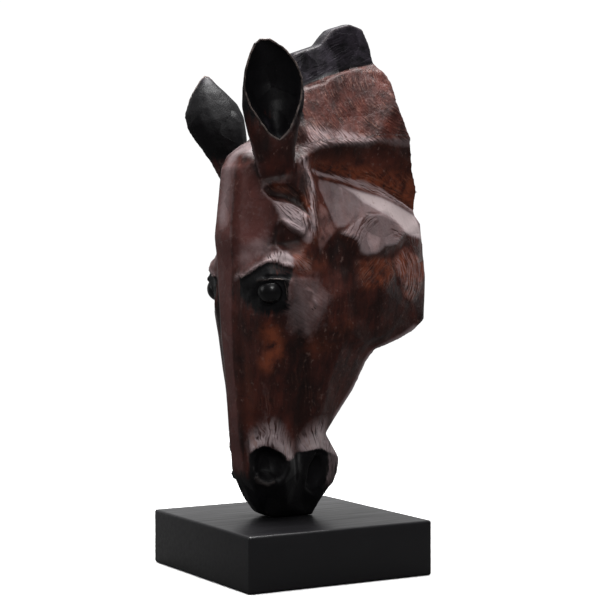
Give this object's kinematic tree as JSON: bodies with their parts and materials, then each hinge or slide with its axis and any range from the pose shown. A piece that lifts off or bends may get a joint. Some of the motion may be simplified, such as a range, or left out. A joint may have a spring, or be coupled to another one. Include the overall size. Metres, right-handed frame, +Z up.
{
  "type": "horse head sculpture",
  "caption": "Horse head carved in broad planes, nose down, standing on its lips on a square black plinth; a decorative sculpture for a shelf or sideboard.",
  "frame": {"origin": "middle of the plinth's underside", "axes": "+Z up; the forehead and nose face -Y and the neck runs back to +Y; +X is the animal's left side"},
  "size_m": [0.2, 0.235, 0.5363],
  "materials": {
    "black_lacquer": "satin black lacquer on board, with faint brushed streaks on the top",
    "patinated_resin": "cast resin painted dark red-brown, rubbed with grey on the raised planes, near black on ears, mane, eyes and muzzle"
  },
  "bodies": {
    "root": {"plinth": "black_lacquer", "horse_head": "patinated_resin"}
  },
  "joints": []
}
